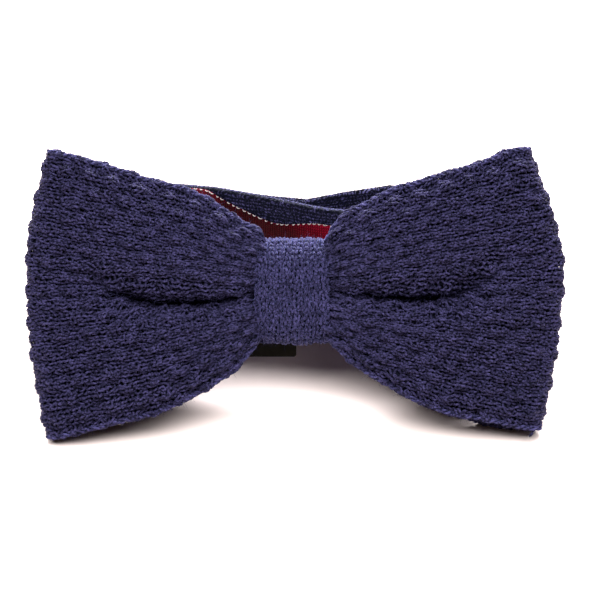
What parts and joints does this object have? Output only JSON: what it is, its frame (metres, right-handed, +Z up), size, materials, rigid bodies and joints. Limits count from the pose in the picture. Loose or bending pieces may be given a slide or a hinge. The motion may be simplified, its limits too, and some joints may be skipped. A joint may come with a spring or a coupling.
{
  "type": "bow tie",
  "caption": "Ready-tied knitted bow tie with looped wings, a knot wrap and an adjustable neckband fastened by a flat hook and eye.",
  "frame": {"origin": "on the table, at the middle of the footprint", "axes": "+Z up, +X across the bow to the viewer's right, the bow's face turned to -Y and leaning back"},
  "size_m": [0.1192, 0.0684, 0.0503],
  "materials": {
    "knit": "napped wool knit, rough",
    "band_knit": "fine flat knit, rough",
    "red_ribbon": "woven satin with a fine twill",
    "white_thread": "spun sewing thread",
    "navy_thread": "spun sewing thread",
    "black_hardware": "moulded, slight gloss"
  },
  "bodies": {
    "bow": {"bow_loop": "knit", "cinch_thread": "navy_thread", "knot_wrap": "knit", "knot_seam_thread": "navy_thread", "clasp_eye": "black_hardware", "eye_tack_thread": "navy_thread", "neckband": "band_knit", "neckband_tail": "band_knit", "lining_ribbon": "red_ribbon", "ribbon_stitches_upper": "white_thread", "ribbon_stitches_lower": "white_thread", "anchor_tack_thread": "navy_thread"},
    "hook": {"clasp_hook": "black_hardware", "hook_bight": "band_knit"},
    "slide": {"adjuster_slide": "black_hardware", "tail_end": "band_knit", "tail_tack_thread": "navy_thread"}
  },
  "joints": [
    {"name": "clasp_swing", "type": "hinge", "parent": "bow", "child": "hook", "pos_m": [-0.0017, -0.00396, 0.0188], "axis": [0, -0.6428, -0.766], "range_deg": [0, 18]},
    {"name": "slide_travel", "type": "slide", "parent": "bow", "child": "slide", "axis": [1, 0, 0], "range_m": [-0.008, 0.004]}
  ]
}
